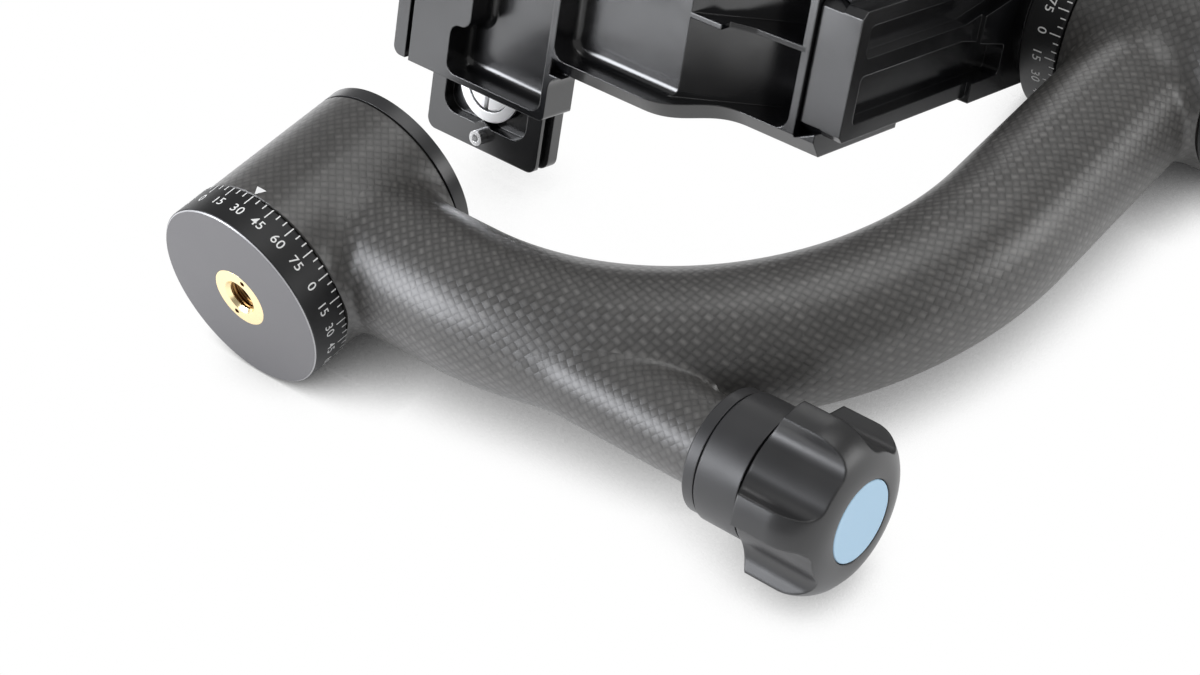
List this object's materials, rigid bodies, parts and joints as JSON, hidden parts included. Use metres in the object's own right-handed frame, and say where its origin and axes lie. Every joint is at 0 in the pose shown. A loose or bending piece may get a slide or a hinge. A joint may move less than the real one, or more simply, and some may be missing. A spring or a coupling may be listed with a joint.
{
  "type": "gimbal tripod head",
  "caption": "Gimbal head for long lenses: carbon arm, pan and tilt bearings with lock knobs, and a hanging cradle with a dovetail clamp and lens plate.",
  "frame": {"origin": "mouth of the tripod thread in the middle of the base face", "axes": "+Z along the pan axis, up and away from the tripod; +X towards the arm, parallel to the tilt axis; +Y completes the right hand"},
  "size_m": [0.2406, 0.1184, 0.2312],
  "materials": {
    "anodised_grey": "fine blasted, dark grey anodised",
    "brass": "machined brass",
    "carbon": "satin plain-weave carbon laminate",
    "anodised_black": "fine blasted, black anodised",
    "collar_grey": "turned, grey anodised",
    "cover_blue": "satin light blue",
    "seal_rubber": "matte",
    "bracket_aluminium": "milled and blasted, dark grey anodised",
    "bearing_steel": "ground",
    "cage_plastic": "moulded",
    "steel_screw": "turned",
    "inner_aluminium": "machined, bare",
    "insert_brass": "knurled insert"
  },
  "bodies": {
    "base": {"base_disc": "anodised_grey", "thread_bush": "brass", "pan_spindle": "inner_aluminium", "pan_flange_screws": "steel_screw", "pan_lower_inner_race": "bearing_steel", "pan_upper_inner_race": "bearing_steel", "pan_brake_drum": "inner_aluminium", "pan_spindle_nut": "inner_aluminium", "pan_bearing_balls": "bearing_steel", "pan_bearing_cages": "cage_plastic"},
    "arm": {"arm_shell": "carbon", "pan_liner": "inner_aluminium", "pan_lower_outer_race": "bearing_steel", "pan_upper_outer_race": "bearing_steel", "pan_cap": "anodised_black", "pan_cap_seal": "seal_rubber", "pan_collar_ring": "collar_grey", "pan_lock_collar": "anodised_black", "tilt_liner": "inner_aluminium", "tilt_inner_end_outer_race": "bearing_steel", "tilt_outer_end_outer_race": "bearing_steel", "tilt_cap": "anodised_black", "tilt_cap_seal": "seal_rubber"},
    "pan_brake": {"pan_brake_shoe": "cage_plastic"},
    "pan_knob": {"pan_knob": "anodised_black", "pan_knob_disc": "cover_blue", "pan_knob_insert": "insert_brass", "pan_knob_stem": "steel_screw"},
    "cradle": {"swing_arm": "bracket_aluminium", "tilt_scale_ring": "anodised_grey", "tilt_spindle": "inner_aluminium", "tilt_flange_screws": "steel_screw", "tilt_inner_end_inner_race": "bearing_steel", "tilt_outer_end_inner_race": "bearing_steel", "tilt_spacer": "inner_aluminium", "tilt_spindle_nut": "inner_aluminium", "tilt_bearing_balls": "bearing_steel", "tilt_bearing_cages": "cage_plastic", "swing_arm_screws": "steel_screw"},
    "tilt_brake": {"tilt_brake_disc": "inner_aluminium"},
    "tilt_knob": {"tilt_knob": "anodised_black", "tilt_knob_disc": "cover_blue", "tilt_knob_insert": "insert_brass", "tilt_knob_stem": "steel_screw"},
    "platform": {"platform_bracket": "bracket_aluminium"},
    "gib": {"rail_gib": "cage_plastic"},
    "height_knob": {"height_knob": "anodised_black", "height_knob_disc": "cover_blue", "height_stem": "steel_screw"},
    "jaw": {"clamp_jaw": "bracket_aluminium", "clamp_pins": "steel_screw"},
    "clamp_knob": {"clamp_knob": "anodised_black", "clamp_knob_disc": "cover_blue", "clamp_screw": "steel_screw"},
    "plate": {"lens_plate": "bracket_aluminium", "stop_screws": "steel_screw"},
    "camera_clip": {"camera_screw_clip": "steel_screw"},
    "camera_screw": {"camera_screw": "steel_screw"},
    "camera_ring": {"camera_screw_ring": "steel_screw"}
  },
  "joints": [
    {"name": "pan_turn", "type": "hinge", "parent": "base", "child": "arm", "pos_m": [0, 0, 0.0314], "axis": [0, 0, 1], "continuous": true},
    {"name": "tilt_turn", "type": "hinge", "parent": "arm", "child": "cradle", "pos_m": [0.141, 0, 0.2052], "axis": [1, 0, 0], "continuous": true},
    {"name": "pan_brake_slide", "type": "slide", "parent": "arm", "child": "pan_brake", "axis": [-1, 0, 0], "range_m": [0, 0.0005]},
    {"name": "pan_knob_turn", "type": "hinge", "parent": "pan_brake", "child": "pan_knob", "pos_m": [0.157, 0, 0.0277], "axis": [-1, 0, 0], "range_deg": [0, 180]},
    {"name": "tilt_brake_slide", "type": "slide", "parent": "arm", "child": "tilt_brake", "axis": [-1, 0, 0], "range_m": [0, 0.0005]},
    {"name": "tilt_knob_turn", "type": "hinge", "parent": "tilt_brake", "child": "tilt_knob", "pos_m": [0.186, 0, 0.2052], "axis": [-1, 0, 0], "range_deg": [0, 180]},
    {"name": "height_slide", "type": "slide", "parent": "cradle", "child": "platform", "axis": [0, 0.3746, 0.9272], "range_m": [0, 0.016]},
    {"name": "gib_slide", "type": "slide", "parent": "platform", "child": "gib", "axis": [0, 0.9272, -0.3746], "range_m": [0, 0.00015]},
    {"name": "height_knob_turn", "type": "hinge", "parent": "gib", "child": "height_knob", "pos_m": [0.0956, -0.05686, 0.14189], "axis": [0, 0.9272, -0.3746], "range_deg": [0, 90]},
    {"name": "jaw_slide", "type": "slide", "parent": "platform", "child": "jaw", "axis": [-1, 0, 0], "range_m": [0, 0.0025]},
    {"name": "clamp_knob_turn", "type": "hinge", "parent": "jaw", "child": "clamp_knob", "pos_m": [-0.034, -0.04121, 0.10321], "axis": [-1, 0, 0], "range_deg": [0, 720]},
    {"name": "plate_slide", "type": "slide", "parent": "platform", "child": "plate", "axis": [0, 0.9272, -0.3746], "range_m": [-0.014, 0.014]},
    {"name": "camera_slide", "type": "slide", "parent": "plate", "child": "camera_clip", "axis": [0, 0.9272, -0.3746], "range_m": [-0.0772, 0]},
    {"name": "camera_screw_turn", "type": "hinge", "parent": "camera_clip", "child": "camera_screw", "pos_m": [0, -0.00167, 0.09802], "axis": [0, 0.3746, 0.9272], "continuous": true},
    {"name": "camera_ring_fold", "type": "hinge", "parent": "camera_screw", "child": "camera_ring", "pos_m": [0, -0.0031, 0.0945], "axis": [-1, 0, 0], "range_deg": [0, 90]}
  ],
  "couplings": [
    {"joint": "pan_knob_turn", "follows": "pan_brake_slide", "rad_per_m": 6283.2},
    {"joint": "tilt_knob_turn", "follows": "tilt_brake_slide", "rad_per_m": 6283.2},
    {"joint": "height_knob_turn", "follows": "gib_slide", "rad_per_m": 10472},
    {"joint": "clamp_knob_turn", "follows": "jaw_slide", "rad_per_m": 5026.5}
  ]
}
